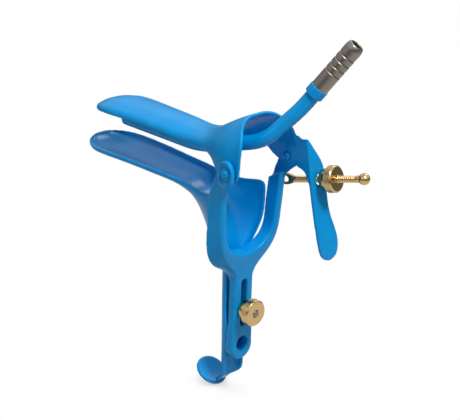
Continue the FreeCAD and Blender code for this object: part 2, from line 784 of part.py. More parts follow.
def screw_rod():
    rise = math.radians(rod_rise)
    along = at(-math.cos(rise), math.sin(rise))
    across = at(math.sin(rise), math.cos(rise))
    inner_x = arm_outer_x + eye_gap
    pin = Vector(inner_x, rod_pin_y, rod_pin_z)

    def spot(s, h):
        return pin + along * s + across * h

    r = eye_half_height
    neck = eye_length - 1.0
    outline = Part.Wire([
        Part.LineSegment(spot(0, r), spot(eye_slot_end, r)).toShape(),
        Part.LineSegment(spot(eye_slot_end, r), spot(neck, thread_radius)).toShape(),
        Part.LineSegment(spot(neck, thread_radius), spot(neck, -thread_radius)).toShape(),
        Part.LineSegment(spot(neck, -thread_radius), spot(eye_slot_end, -r)).toShape(),
        Part.LineSegment(spot(eye_slot_end, -r), spot(0, -r)).toShape(),
        Part.Arc(spot(0, -r), spot(-r, 0), spot(0, r)).toShape(),
    ])
    hole_start = eye_slot_radius - rod_pin_radius - running_gap
    sr = eye_slot_radius
    last = eye_slot_end
    hole = Part.Wire([
        Part.LineSegment(spot(hole_start, sr), spot(last - sr, sr)).toShape(),
        Part.Arc(spot(last - sr, sr), spot(last, 0), spot(last - sr, -sr)).toShape(),
        Part.LineSegment(spot(last - sr, -sr), spot(hole_start, -sr)).toShape(),
        Part.Arc(spot(hole_start, -sr), spot(hole_start - sr, 0), spot(hole_start, sr)).toShape(),
    ])
    eye = Part.Face(outline).extrude(Vector(eye_sheet, 0, 0))
    eye = eye.cut(Part.Face(hole).extrude(Vector(eye_sheet, 0, 0)))
    start = rod_line(eye_length - 2.0)
    bar = cylinder(thread_radius, start, rod_line(rod_end))
    # The bar's square start is kept clear of the arm's back face.
    return fuse([eye, bar])


def rod_end_knob():
    end = rod_line(rod_end)
    axis = rod_line(rod_end) - rod_line(rod_end - 1)
    axis.normalize()
    flat = cylinder(knob_radius * 2, end, end - axis * 10)
    ball = Part.makeSphere(knob_radius, end + axis * (knob_radius * 0.8))
    return ball.cut(flat)


def lever_nut():
    start = rod_line(seat_distance() + nut_seat_gap)
    axis = rod_line(rod_end) - rod_line(rod_end - 1)
    axis.normalize()
    return knurled_nut(start, axis)


def rod_pin_seat(offset):
    return Vector(arm_outer_x + offset, rod_pin_y, rod_pin_z)


def rod_pin():
    outer = eye_gap + eye_sheet + eye_gap / 2
    shank = cylinder(rod_pin_radius, rod_pin_seat(-rod_pin_depth), rod_pin_seat(outer))
    head = dome(rod_pin_head_radius, rod_pin_head, rod_pin_seat(outer), Vector(1, 0, 0))
    return fuse([shank, head])


def tube_path():
    return [tube_start, tube_dip, tube_rise, tube_knee, tube_shoulder, tube_end]


def swept(path_points, radius):
    """A round bar along straight runs joined by tangent arcs."""
    edges = []
    start = path_points[0]
    for i in range(1, len(path_points) - 1):
        here = path_points[i]
        into = here - path_points[i - 1]
        away = path_points[i + 1] - here
        room = 0.45 * min(into.Length, away.Length)
        into.normalize()
        away.normalize()
        turn = into.getAngle(away)
        first = here - into * room
        last = here + away * room
        bend = room / math.tan(turn / 2)
        middle = here + (away - into) * (1 / (away - into).Length) * (
            bend / math.cos(turn / 2) - bend)
        # The arc's middle lies inside the corner, on the bisector.
        edges.append(Part.LineSegment(start, first).toShape())
        edges.append(Part.Arc(first, middle, last).toShape())
        start = last
    edges.append(Part.LineSegment(start, path_points[-1]).toShape())
    path = Part.Wire(edges)
    direction = path_points[1] - path_points[0]
    circle = Part.Wire(Part.makeCircle(radius, path_points[0], direction))
    sweep = Part.BRepOffsetAPI.MakePipeShell(path)
    sweep.add(circle, False, False)
    sweep.build()
    sweep.makeSolid()
    return sweep.shape()


def smoke_tube():
    points = tube_path()
    return swept(points, tube_radius).cut(swept(points, tube_radius - tube_wall))


def tube_axis():
    axis = tube_end - tube_shoulder
    axis.normalize()
    return axis


def tube_collar():
    """Sleeve over the tube's end that the hose nipple is seated in."""
    axis = tube_axis()
    lap = collar_length / 2
    inner = tube_radius - tube_wall
    profile = [
        (tube_radius, -lap), (collar_radius, -lap), (collar_radius, lap), (inner, lap),
        (inner, 0.0), (tube_radius, 0.0),
    ]
    return turned(profile, tube_end, axis)


def hose_nipple():
    start = collar_length / 2
    end = start + nipple_length
    r = nipple_radius
    profile = [(nipple_bore_radius, start), (r, start)]
    for i in range(groove_count):
        near = start + nipple_neck + i * groove_pitch
        profile += [
            (r, near), (r - groove_depth, near), (r - groove_depth, near + groove_width),
            (r, near + groove_width),
        ]
    profile += [(r, end - nipple_chamfer), (nipple_nose_radius, end), (nipple_bore_radius, end)]
    return turned(profile, tube_end, tube_axis())


def build_all():
    return {
        "lower_blade": lower_blade(),
        "stem_stud": stem_stud(),
        "stem_nut": stem_nut(),
        "yoke": yoke(),
        "pivot_rivet_left": pivot_rivet(-1),
        "pivot_rivet_right": pivot_rivet(1),
        "rod_pin": rod_pin(),
        "upper_blade": upper_blade(),
        "thumb_lever": thumb_lever(),
        "smoke_tube": smoke_tube(),
        "tube_collar": tube_collar(),
        "hose_nipple": hose_nipple(),
        "screw_rod": screw_rod(),
        "rod_end_knob": rod_end_knob(),
        "lever_nut": lever_nut(),
    }


os.makedirs("parts", exist_ok=True)
nodes = build_all()
box = FreeCAD.BoundBox()
for shape in nodes.values():
    box.add(shape.optimalBoundingBox(False, False))
shift = Vector(-(box.XMin + box.XMax) / 2, -(box.YMin + box.YMax) / 2, -box.ZMin)
for name, shape in nodes.items():
    shape.translate(shift)
    shape.exportStep(f"parts/{name}.step")
    print(name, "valid", shape.isValid(), "solids", len(shape.Solids), "volume", round(shape.Volume, 1))
print("pivot axis at", round(shift.x, 3), round(shift.y, 3), round(shift.z, 3))
print("size", round(box.XLength, 2), round(box.YLength, 2), round(box.ZLength, 2))
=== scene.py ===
# Bivalve speculum with a smoke tube: blue coated blades, brass screw and nuts, grooved hose end
import json
import math
import bmesh
import bpy
from mathutils import Matrix, Vector


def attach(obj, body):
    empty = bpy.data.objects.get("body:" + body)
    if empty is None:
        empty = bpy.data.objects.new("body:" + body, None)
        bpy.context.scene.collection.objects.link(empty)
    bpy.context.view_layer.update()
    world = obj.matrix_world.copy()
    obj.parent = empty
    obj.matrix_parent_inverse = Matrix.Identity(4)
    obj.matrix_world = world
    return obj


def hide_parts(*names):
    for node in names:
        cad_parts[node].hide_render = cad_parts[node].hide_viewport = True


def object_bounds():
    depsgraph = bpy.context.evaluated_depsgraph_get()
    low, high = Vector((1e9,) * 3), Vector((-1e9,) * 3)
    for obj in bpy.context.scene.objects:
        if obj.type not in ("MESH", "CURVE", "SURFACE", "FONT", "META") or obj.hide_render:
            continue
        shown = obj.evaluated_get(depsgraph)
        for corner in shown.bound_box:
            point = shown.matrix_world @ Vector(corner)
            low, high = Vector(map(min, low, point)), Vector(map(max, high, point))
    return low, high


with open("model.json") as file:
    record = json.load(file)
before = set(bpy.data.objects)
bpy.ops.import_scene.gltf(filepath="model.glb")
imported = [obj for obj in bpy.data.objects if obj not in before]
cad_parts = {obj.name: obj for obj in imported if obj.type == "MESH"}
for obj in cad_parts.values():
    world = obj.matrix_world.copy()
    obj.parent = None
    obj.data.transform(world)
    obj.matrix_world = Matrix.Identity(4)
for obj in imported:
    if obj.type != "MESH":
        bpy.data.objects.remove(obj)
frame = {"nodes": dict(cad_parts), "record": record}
cadLow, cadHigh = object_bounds()
print("frame loaded")

# lengths in the dictionaries are millimetres and places are from the pivot, unless a note says otherwise
mm = 0.001
pivot = Vector((-6.309, -44.105, 153.768)) * mm      # middle of the axis that the upper blade tilts on
bodyOf = {row: body for body, names in frame["record"]["behaviour"]["bodies"].items() for row in names}


def spot(x, y, z):
    return pivot + Vector((x, y, z)) * mm


def placed(name, data):
    made = bpy.data.objects.new(name, data)
    bpy.context.scene.collection.objects.link(made)
    return made


def clamped(share):
    return min(max(share, 0.0), 1.0)


def newMaterial(name):
    mat = bpy.data.materials.new(name)
    mat.use_nodes = True
    return mat, mat.node_tree.nodes, mat.node_tree.links


def node(nodes, kind, **values):
    # a value goes to the node's own setting of that name, or else to its socket
    made = nodes.new(kind)
    for key, value in values.items():
        if hasattr(made, key) and key not in made.inputs:
            setattr(made, key, value)
        else:
            made.inputs[key].default_value = value
    return made


def ramp(nodes, links, source, stops):
    made = nodes.new("ShaderNodeValToRGB")
    made.color_ramp.elements[0].position, made.color_ramp.elements[0].color = stops[0]
    made.color_ramp.elements[1].position, made.color_ramp.elements[1].color = stops[-1]
    for place, colour in stops[1:-1]:
        made.color_ramp.elements.new(place).color = colour
    links.new(source, made.inputs["Fac"])
    return made


def roughened(nodes, links, source, shader, span):
    # roughness wanders between two values with a noise
    made = nodes.new("ShaderNodeMapRange")
    made.inputs["To Min"].default_value, made.inputs["To Max"].default_value = span
    links.new(source, made.inputs["Value"])
    links.new(made.outputs["Result"], shader.inputs["Roughness"])


def bumped(nodes, links, source, shader, strength, depth):
    made = node(nodes, "ShaderNodeBump", Strength=strength, Distance=depth)
    links.new(source, made.inputs["Height"])
    links.new(made.outputs["Normal"], shader.inputs["Normal"])


# thick nylon coat: a slightly cloudy blue with a thin gloss and faint orange peel, its depth in metres
coatLook = {
    "deep": (0.0, 0.290, 0.690, 1), "lit": (0.0, 0.340, 0.800, 1), "clouds": 70.0,
    "rough": (0.3, 0.36), "wear": 420.0, "ior": 1.5, "shine": 0.1, "gloss": 0.18, "glossRough": 0.2,
    "peel": 260.0, "peelStrength": 0.35, "peelDepth": 0.000008,
}


def blueCoat(name, look):
    mat, nodes, links = newMaterial(name)
    shader = nodes["Principled BSDF"]
    place = node(nodes, "ShaderNodeTexCoord")

    def noise(scale, detail):
        made = node(nodes, "ShaderNodeTexNoise", Scale=scale, Detail=detail)
        links.new(place.outputs["Object"], made.inputs["Vector"])
        return made.outputs["Fac"]

    colour = ramp(nodes, links, noise(look["clouds"], 3.0), [(0.3, look["deep"]), (0.7, look["lit"])])
    links.new(colour.outputs["Color"], shader.inputs["Base Color"])
    roughened(nodes, links, noise(look["wear"], 2.0), shader, look["rough"])
    bumped(nodes, links, noise(look["peel"], 2.0), shader, look["peelStrength"], look["peelDepth"])
    shader.inputs["IOR"].default_value = look["ior"]
    shader.inputs["Specular IOR Level"].default_value = look["shine"]
    shader.inputs["Coat Weight"].default_value = look["gloss"]
    shader.inputs["Coat Roughness"].default_value = look["glossRough"]
    return mat


# the fine grain that all the turned metals share, its depth in metres
grainLook = {"scale": 5200.0, "detail": 5.0, "rough": 0.65, "strength": 0.3, "depth": 0.000001}
brassLook = {"dark": (0.50, 0.335, 0.15, 1), "bright": (0.62, 0.43, 0.205, 1), "rough": (0.15, 0.24)}
nippleSteelLook = {"dark": (0.21, 0.188, 0.162, 1), "bright": (0.25, 0.225, 0.196, 1), "rough": (0.34, 0.42)}
pinSteelLook = {"dark": (0.48, 0.47, 0.46, 1), "bright": (0.60, 0.59, 0.57, 1), "rough": (0.2, 0.36)}
# the stud's steel is darkened as painted shade for its end, which sits in the nut's bore and reflects dark
studSteelLook = {"dark": (0.16, 0.155, 0.15, 1), "bright": (0.30, 0.29, 0.28, 1), "rough": (0.25, 0.4)}


def metal(name, look):
    mat, nodes, links = newMaterial(name)
    shader = nodes["Principled BSDF"]
    shader.inputs["Metallic"].default_value = 1.0
    place = node(nodes, "ShaderNodeTexCoord")
    grain = node(nodes, "ShaderNodeTexNoise", Scale=grainLook["scale"], Detail=grainLook["detail"],
                 Roughness=grainLook["rough"])
    links.new(place.outputs["Object"], grain.inputs["Vector"])
    colour = ramp(nodes, links, grain.outputs["Fac"], [(0.3, look["dark"]), (0.7, look["bright"])])
    links.new(colour.outputs["Color"], shader.inputs["Base Color"])
    roughened(nodes, links, grain.outputs["Fac"], shader, look["rough"])
    bumped(nodes, links, grain.outputs["Fac"], shader, grainLook["strength"], grainLook["depth"])
    return mat


coat = blueCoat("blue nylon coat", coatLook)
brass = metal("turned brass", brassLook)
nippleSteel = metal("satin grey steel", nippleSteelLook)
pinSteel = metal("bright pin steel", pinSteelLook)
studSteel = metal("stud steel darkened for painted shade", studSteelLook)

# every drawn piece gets its finish, also where a finer piece stands for it below
coatedNodes = ["lower_blade", "yoke", "pivot_rivet_left", "pivot_rivet_right", "upper_blade",
               "thumb_lever", "smoke_tube", "tube_collar"]
nodeFinish = {name: coat for name in coatedNodes}
nodeFinish.update({"stem_stud": pinSteel, "stem_nut": brass, "rod_pin": pinSteel,
                   "hose_nipple": nippleSteel, "screw_rod": brass, "rod_end_knob": brass,
                   "lever_nut": brass})
for name, mat in nodeFinish.items():
    for row in frame["nodes"][name].material_slots:
        row.material = mat
print("finishes on", len(nodeFinish), "pieces")

# the solids' hard edges are softened as the thick coat softens them: grain in metres, then passes of
# smoothing, and more of them inside a box where a plate runs out into its neighbour with no edge
skinLook = {
    "lowerBlade": {"nodes": ["lower_blade"], "grain": 0.00046, "passes": 12},
    "upperBlade": {"nodes": ["upper_blade", "thumb_lever"], "grain": 0.00044, "passes": 12, "blend": 50,
                   "blendLow": (22.5, -17.0, -9.0), "blendHigh": (31.0, -1.0, 18.0)},
    "yokeCasting": {"nodes": ["yoke"], "grain": 0.00042, "passes": 10, "blend": 50,
                    "blendLow": (24.0, -9.0, -40.0), "blendHigh": (32.0, 18.0, -5.0)},
}
blendEdge = 2.0      # the box's extra smoothing fades in over this width
# the ears are squashed narrower above the arms, and a plate, the web, runs from each down to its arm's
# front edge; its outline is points of (y, z), and below armTop its outside follows the arm's draft
earLook = {
    "inside": 25.0, "squash": 0.75, "from": -9.0, "to": -3.0,
    "inner": 26.5, "outer": 28.3, "front": 14.3, "draft": 0.17, "sink": 0.25, "draftTop": -3.0, "draftRun": 9.0,
    "web": [(3.0, 6.2), (5.6, 3.2), (7.6, -1.0), (9.6, -6.5), (11.4, -13.0), (12.2, -19.0),
            (9.0, -21.0), (5.0, -19.0), (3.6, -10.0), (-3.0, -7.5), (-5.0, -3.0), (-2.0, 3.0)],
    "arm": 28.4, "armDraft": 0.157, "armTop": -8.0, "armRun": 14.0, "armFoot": -48.0,
}


def finishPiece(made, body, replaced, mat):
    made.data.materials.clear()
    made.data.materials.append(mat)
    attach(made, body)
    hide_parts(*replaced)


def shapedEars(work):
    look = earLook
    for vertex in work.verts:
        x, y, z = (vertex.co - pivot) / mm
        if abs(x) > look["inside"]:
            share = clamped((z - look["from"]) / (look["to"] - look["from"]))
            vertex.co.y = pivot.y + y * (1 - (1 - look["squash"]) * share) * mm
    for side in (-1, 1):
        rings = []
        for x, draft, sink in ((look["inner"], 0.0, 0.0), (look["outer"], look["draft"], look["sink"])):
            ring = []
            for y, z in look["web"]:
                share = clamped((look["draftTop"] - z) / look["draftRun"])
                back = draft * (look["front"] - y) * share + sink * share
                ring.append(work.verts.new(spot((x - back) * side, y, z)))
            rings.append(ring)
        count = len(look["web"])
        for k in range(count):
            j = (k + 1) % count
            work.faces.new((rings[0][k], rings[0][j], rings[1][j], rings[1][k]))
        work.faces.new(rings[0])
        work.faces.new(rings[1])
    bmesh.ops.recalc_face_normals(work, faces=work.faces)


def fadedFlanks(mesh):
    # the web sinks into the arm's drafted flank instead of ending in a step
    look = earLook
    for vertex in mesh.vertices:
        x, y, z = (vertex.co - pivot) / mm
        share = clamped((look["armTop"] - z) / look["armRun"])
        if z > look["armFoot"] and share > 0:
            limit = look["arm"] - look["armDraft"] * max(look["front"] - y, 0.0) * share
            if abs(x) > limit:
                vertex.co.x = pivot.x + math.copysign(limit, x) * mm


def smoothing(made, name, passes):
    added = made.modifiers.new(name, "SMOOTH")
    added.factor = 0.5
    added.iterations = passes
    return added


def applied(made):
    graph = bpy.context.evaluated_depsgraph_get()
    made.data = bpy.data.meshes.new_from_object(made.evaluated_get(graph))
    made.modifiers.clear()


def coatedSkin(name, look):
    onYoke = "yoke" in look["nodes"]
    work = bmesh.new()
    for nodeName in look["nodes"]:
        work.from_mesh(frame["nodes"][nodeName].data)
    if onYoke:
        shapedEars(work)
    bmesh.ops.remove_doubles(work, verts=work.verts, dist=0.000004)
    mesh = bpy.data.meshes.new(name)
    work.to_mesh(mesh)
    work.free()
    made = placed(name, mesh)
    grid = made.modifiers.new("even skin", "REMESH")
    grid.mode = "VOXEL"
    grid.voxel_size = look["grain"]
    shape = placed(name + "Shape", mesh.copy())
    snap = made.modifiers.new("onto the drawing", "SHRINKWRAP")
    snap.target = shape
    smoothing(made, "soft edges", look["passes"])
    if "blend" in look:
        applied(made)
        if onYoke:
            fadedFlanks(made.data)
        group = made.vertex_groups.new(name="flanks")
        for vertex in made.data.vertices:
            x, y, z = (vertex.co - pivot) / mm
            place = (abs(x) if onYoke else x, y, z)      # the yoke's box stands on both sides
            deep = min(min(a - low, high - a) for a, low, high in
                       zip(place, look["blendLow"], look["blendHigh"]))
            if deep > 0:
                group.add([vertex.index], min(deep / blendEdge, 1.0), "REPLACE")
        blend = smoothing(made, "blended flanks", look["blend"])
        blend.vertex_group = "flanks"
    applied(made)
    bpy.data.objects.remove(shape)
    made.data.shade_smooth()
    finishPiece(made, bodyOf[look["nodes"][0]], look["nodes"], coat)


for name, look in skinLook.items():
    coatedSkin(name, look)
print("coated skins on", len(skinLook), "pieces")


def rounded(profile, radius, steps=3):
    # takes the sharp corners off a closed run of (radius, distance) points
    made = []
    count = len(profile)
    for i in range(count):
        before, here, after = (Vector(profile[(i + k) % count]) for k in (-1, 0, 1))
        into, away = before - here, after - here
        if into.length < 1e-9 or away.length < 1e-9:
            continue
        bend = math.pi - into.angle(away)
        if bend < math.radians(25):      # gentle bends stay as they are
            made.append(tuple(here))
            continue
        room = min(radius, into.length * 0.45, away.length * 0.45)
        first, last = here + into.normalized() * room, here + away.normalized() * room
        for k in range(steps + 1):
            t = k / steps
            point = first * (1 - t) ** 2 + here * 2 * t * (1 - t) + last * t ** 2
            made.append(tuple(point))
    return made


def divided(profile, step):
    # adds points so that no run is longer than step
    made = []
    for i, here in enumerate(profile):
        after = profile[(i + 1) % len(profile)]
        made.append(here)
        span = math.dist(here, after)
        for k in range(1, int(span / step) + 1):
            t = k / (int(span / step) + 1)
            made.append((here[0] + (after[0] - here[0]) * t, here[1] + (after[1] - here[1]) * t))
    return made


def turnedMesh(work, profile, origin, axis, around, relief=None):
    # revolves a closed profile about an axis through the origin; relief moves each point in or out
    turn = Vector((0, 0, 1)).rotation_difference(axis)
    rings = []
    for k in range(around):
        angle = 2 * math.pi * k / around
        ring = []
        for r, d in profile:
            reach = r + (relief(angle, r, d) if relief else 0.0)
            local = Vector((reach * math.cos(angle), reach * math.sin(angle), d)) * mm
            ring.append(work.verts.new(origin + turn @ local))
        rings.append(ring)
    count = len(profile)
    for k in range(around):
        near, far = rings[k], rings[(k + 1) % around]
        for i in range(count):
            j = (i + 1) % count
            work.faces.new((near[i], far[i], far[j], near[j]))


def meshPiece(name, work, body, replaced, mat, sharp):
    # edges that turn by more than sharp degrees stay crisp, and none does where it is 0
    bmesh.ops.remove_doubles(work, verts=work.verts, dist=0.000002)
    bmesh.ops.recalc_face_normals(work, faces=work.faces)
    mesh = bpy.data.meshes.new(name)
    work.to_mesh(mesh)
    work.free()
    made = placed(name, mesh)
    mesh.shade_smooth()
    if sharp:
        mesh.set_sharp_from_angle(angle=math.radians(sharp))
    finishPiece(made, body, replaced, mat)


# a ring with crossed teeth on a rounded boss, which narrows from its foot to its face
nutLook = {
    "bore": 2.31, "boreChamfer": 0.35, "radius": 8.3, "ring": 5.3, "frontChamfer": 0.4, "rearChamfer": 0.8,
    "boss": 5.3, "bossFoot": 6.8, "bossFace": 4.3, "bossRound": 0.8,
    "teeth": 56, "toothDepth": 0.22, "teethPitch": 0.95, "teethMargin": 0.12,
    "soft": 0.12, "step": 0.2, "around": 312,
}


def knurledNut(name, seat, axis, body, replaced):
    look = nutLook
    length = look["boss"] + look["ring"]
    big = look["radius"]
    low, high = look["boss"] + look["frontChamfer"], length - look["rearChamfer"]
    profile = [(look["bore"], 0.0), (look["bossFace"], 0.0)]
    for i in range(1, 15):
        angle = math.pi / 2 * i / 14
        r = look["bossFace"] + (look["bossFoot"] - look["bossFace"]) * math.sin(angle)
        profile.append((r, look["boss"] * (1 - math.cos(angle)) * look["bossRound"]))
    profile += [(look["bossFoot"], look["boss"]), (big - look["frontChamfer"], look["boss"]),
                (big, low), (big, high), (big - look["rearChamfer"], length),
                (look["bore"] + look["boreChamfer"], length), (look["bore"], length - look["boreChamfer"])]

    def teeth(angle, r, d):
        # crossed ridges on the grip, none on the chamfers or the boss
        margin = look["teethMargin"]
        if r < big - 0.02 or d < low + margin or d > high - margin:
            return 0.0
        wave = math.cos(look["teeth"] * angle) * math.cos(2 * math.pi * d / look["teethPitch"])
        return -look["toothDepth"] * (0.5 - 0.5 * wave)

    work = bmesh.new()
    turned = divided(rounded(profile, look["soft"], 2), look["step"])
    turnedMesh(work, turned, seat, axis, look["around"], teeth)
    meshPiece(name, work, body, replaced, brass, 50)


# fade is the run-out at both ends, and a power above 1 makes the groove narrower than its ridge
threadLook = {"radius": 2.25, "depth": 0.55, "pitch": 1.45, "fade": 0.8, "power": 1.2,
              "step": 0.24, "around": 32}


def thread(low, high):
    # helical groove between two distances along the piece, fading out at both ends
    look = threadLook

    def groove(angle, r, d):
        if r < look["radius"] - 0.01 or d < low or d > high:
            return 0.0
        fade = min(1.0, (d - low) / look["fade"], (high - d) / look["fade"])
        turn = (d / look["pitch"] - angle / (2 * math.pi)) % 1.0
        return -look["depth"] * fade * (1 - abs(2 * turn - 1)) ** look["power"]
    return groove


# from its pin the rod rises, and past the eye it turns outwards, both in degrees; the eye is a flat plate
# with a slot that narrows to the bar, and the bar starts barLap before the plate's end
rodLook = {"pin": (28.4, 10.5, -18.5), "rise": 12.9, "turn": 9.7, "end": 58.6, "nutSeat": 32.5,
           "threadStart": 1.2, "threadEnd": 1.6}
eyeLook = {
    "gap": 0.3, "sheet": 2.4, "half": 3.4, "length": 15.0, "slot": 2.0, "slotEnd": 8.4, "pinRoom": 1.56,
    "shoulder": 1.2, "neckLap": 1.0, "neckHalf": 1.9, "barLap": 2.0, "soft": 0.35, "inset": 0.3, "around": 96,
}
rodRise, rodTurn = math.radians(rodLook["rise"]), math.radians(rodLook["turn"])
rodPin = rodLook["pin"]


def rodSpot(distance):
    # a point on the rod's middle line, by its distance from the pin
    bend = max(distance - eyeLook["length"] + eyeLook["barLap"], 0.0)
    x = rodPin[0] + eyeLook["gap"] + eyeLook["sheet"] / 2 + bend * math.tan(rodTurn)
    return spot(x, rodPin[1] - distance * math.cos(rodRise), rodPin[2] + distance * math.sin(rodRise))


rodAxis = (rodSpot(rodLook["end"]) - rodSpot(rodLook["end"] - 1)).normalized()


def arc(middle, radius, degrees):
    return [(middle + math.cos(math.radians(a)) * radius, math.sin(math.radians(a)) * radius) for a in degrees]


def ray(outline, centre, angle):
    # where a ray from the centre leaves a closed outline
    way = Vector((math.cos(angle), math.sin(angle)))
    best = 0.0
    for i, here in enumerate(outline):
        a, b = Vector(here) - centre, Vector(outline[(i + 1) % len(outline)]) - centre
        edge = b - a
        cross = way.x * edge.y - way.y * edge.x
        if abs(cross) < 1e-12:
            continue
        reach = (a.x * edge.y - a.y * edge.x) / cross
        share = (a.x * way.y - a.y * way.x) / cross
        if reach > 0 and -1e-9 <= share <= 1 + 1e-9:
            best = max(best, reach)
    return centre + way * best


def screwRod():
    # flat forged eye with its slot, then the threaded bar
    look = eyeLook
    half, last, small = look["half"], look["slotEnd"], look["slot"]
    first = small - look["pinRoom"]
    outline = arc(0.0, half, range(90, 271, 5))
    waist, neck = last - look["shoulder"], look["length"] - look["neckLap"]
    for t in (0.0, 0.15, 0.5, 0.85, 1.0):
        ease = t * t * (3 - 2 * t)
        outline.append((waist + (neck - waist) * t, -(half + (look["neckHalf"] - half) * ease)))
    outline += [(x, -y) for x, y in reversed(outline[-5:])]
    slot = arc(first, small, range(90, 271, 10)) + arc(last - small, small, range(-90, 91, 10))
    centre = Vector(((first + last - small) / 2, 0))
    work = bmesh.new()
    depth = look["sheet"] / 2
    level, inset = depth - look["soft"], look["inset"]
    loops = []
    # (outline, way in towards the other outline, height) from the slot round to the rim and back
    for curve, inwards, height in ((slot, 0.0, -level), (slot, inset, -depth), (outline, inset, -depth),
                                   (outline, 0.0, -level), (outline, 0.0, level), (outline, inset, depth),
                                   (slot, inset, depth), (slot, 0.0, level)):
        other = outline if curve is slot else slot
        ring = []
        for k in range(look["around"]):
            angle = 2 * math.pi * k / look["around"]
            here, there = ray(curve, centre, angle), ray(other, centre, angle)
            point = here + (there - here).normalized() * min(inwards, (there - here).length * 0.4)
            along = Vector((0, -math.cos(rodRise), math.sin(rodRise))) * point.x
            across = Vector((0, math.sin(rodRise), math.cos(rodRise))) * point.y
            side = Vector((rodPin[0] + look["gap"] + depth + height, rodPin[1], rodPin[2]))
            ring.append(work.verts.new(pivot + (side + along + across) * mm))
        loops.append(ring)
    for i, near in enumerate(loops):
        far = loops[(i + 1) % len(loops)]
        for k in range(look["around"]):
            j = (k + 1) % look["around"]
            work.faces.new((near[k], near[j], far[j], far[k]))
    start = rodSpot(look["length"] - look["barLap"])
    length = (rodSpot(rodLook["end"]) - start).length / mm
    big = threadLook["radius"]
    bar = [(0.0, 0.0), (1.6, 0.0), (big - 0.3, 0.5), (big, 1.1), (big, length - 0.4),
           (big - 0.4, length + 0.6), (0.0, length + 0.6)]
    cut = thread(rodLook["threadStart"], length - rodLook["threadEnd"])
    turnedMesh(work, divided(bar, threadLook["step"]), start, rodAxis, threadLook["around"], cut)
    meshPiece("screwRod", work, "rod", ["screw_rod"], brass, 0)


# neck is points of (radius, distance), and the ball runs on from its lowest angle to its top, in degrees
knobLook = {"radius": 3.6, "middle": 2.88, "lowest": -50, "neck": [(0.0, -0.35), (1.9, -0.35), (2.15, 0.0)]}


def rodKnob():
    look = knobLook
    ball = list(look["neck"])
    for k in range(1, 33):
        angle = math.radians(look["lowest"] + (90 - look["lowest"]) * k / 32)
        ball.append((look["radius"] * math.cos(angle), look["middle"] + look["radius"] * math.sin(angle)))
    ball[-1] = (0.0, look["middle"] + look["radius"])
    work = bmesh.new()
    turnedMesh(work, ball, rodSpot(rodLook["end"]), rodAxis, 64)
    meshPiece("rodKnob", work, "rod", ["rod_end_knob"], brass, 0)


# low round head on the channel, threaded shank, dimpled end in the nut: points of (radius, distance),
# the end's counted from the shank's own end
studLook = {
    "start": (0, 20.64, -96), "length": 23.64, "threadStart": 1.8, "threadEnd": 0.6,
    "head": [(0.0, -0.9), (1.9, -0.82), (3.1, -0.45), (3.75, 0.0), (3.8, 0.3), (2.25, 0.45)],
    "end": [(2.25, -0.5), (1.75, 0.0), (0.8, 0.0), (0.45, -0.35), (0.0, -0.45)],
}
nutAxis = Vector((0, -1, 0))
stemNutSeat = (0, 8.0, -96)


def stemStud():
    look = studLook
    shank = look["head"] + [(r, look["length"] + d) for r, d in look["end"]]
    cut = thread(look["threadStart"], look["length"] - look["threadEnd"])
    work = bmesh.new()
    turned = divided(shank, threadLook["step"])
    turnedMesh(work, turned, spot(*look["start"]), nutAxis, threadLook["around"], cut)
    meshPiece("stemStud", work, "lower", ["stem_stud"], studSteel, 0)


# the end is points of (radius, distance) counted from the nipple's own end
nippleLook = {
    "radius": 5.45, "bore": 3.6, "start": 3.0, "length": 33.6,
    "neck": 11.4, "grooves": 4, "pitch": 4.3, "width": 1.3, "depth": 0.5,
    "end": [(5.45, -2.8), (5.1, -1.4), (4.6, -0.25), (4.25, 0.0), (3.85, 0.0), (3.6, -0.3)],
}
collarLook = {"radius": 5.85, "bore": 3.6, "seat": 4.45, "lap": 3.0, "soft": 0.6}
tubeEnd, tubeShoulder = (18.2, -26.1, 47.5), (13.5, -19.0, 36.0)
tubeAxis = (Vector(tubeEnd) - Vector(tubeShoulder)).normalized()


def hoseNipple():
    look = nippleLook
    profile = [(look["bore"], look["start"]), (look["radius"], look["start"])]
    for i in range(look["grooves"]):
        near = look["start"] + look["neck"] + i * look["pitch"]
        for k in range(13):
            t = k / 12
            profile.append((look["radius"] - look["depth"] * math.sin(math.pi * t), near + look["width"] * t))
    profile += [(r, look["start"] + look["length"] + d) for r, d in look["end"]]
    work = bmesh.new()
    turnedMesh(work, divided(profile, 0.8), spot(*tubeEnd), tubeAxis, 96)
    meshPiece("hoseNipple", work, "upper", ["hose_nipple"], nippleSteel, 50)


def tubeCollar():
    r, bore, seat, lap = (collarLook[key] for key in ("radius", "bore", "seat", "lap"))
    profile = [(seat, -lap), (r, -lap), (r, lap), (bore, lap), (bore, 0.0), (seat, 0.0)]
    work = bmesh.new()
    turnedMesh(work, rounded(profile, collarLook["soft"], 5), spot(*tubeEnd), tubeAxis, 96)
    meshPiece("tubeCollar", work, "upper", ["tube_collar"], coat, 50)


# low head with a skirt and a dome outside the ear, small round tail inside the flange; the rim's points
# are (way in from the head's radius, share of the skirt's height)
rivetLook = {
    "inside": 23.88, "outside": 28.4, "shank": 2.0, "tail": 2.5, "tailHeight": 1.7,
    "head": 4.0, "headHeight": 2.1, "skirt": 0.6, "rim": [(0.0, 0.5), (0.25, 0.85), (0.6, 1.0)],
    "dome": 2.6, "domeFoot": 2.9,
}


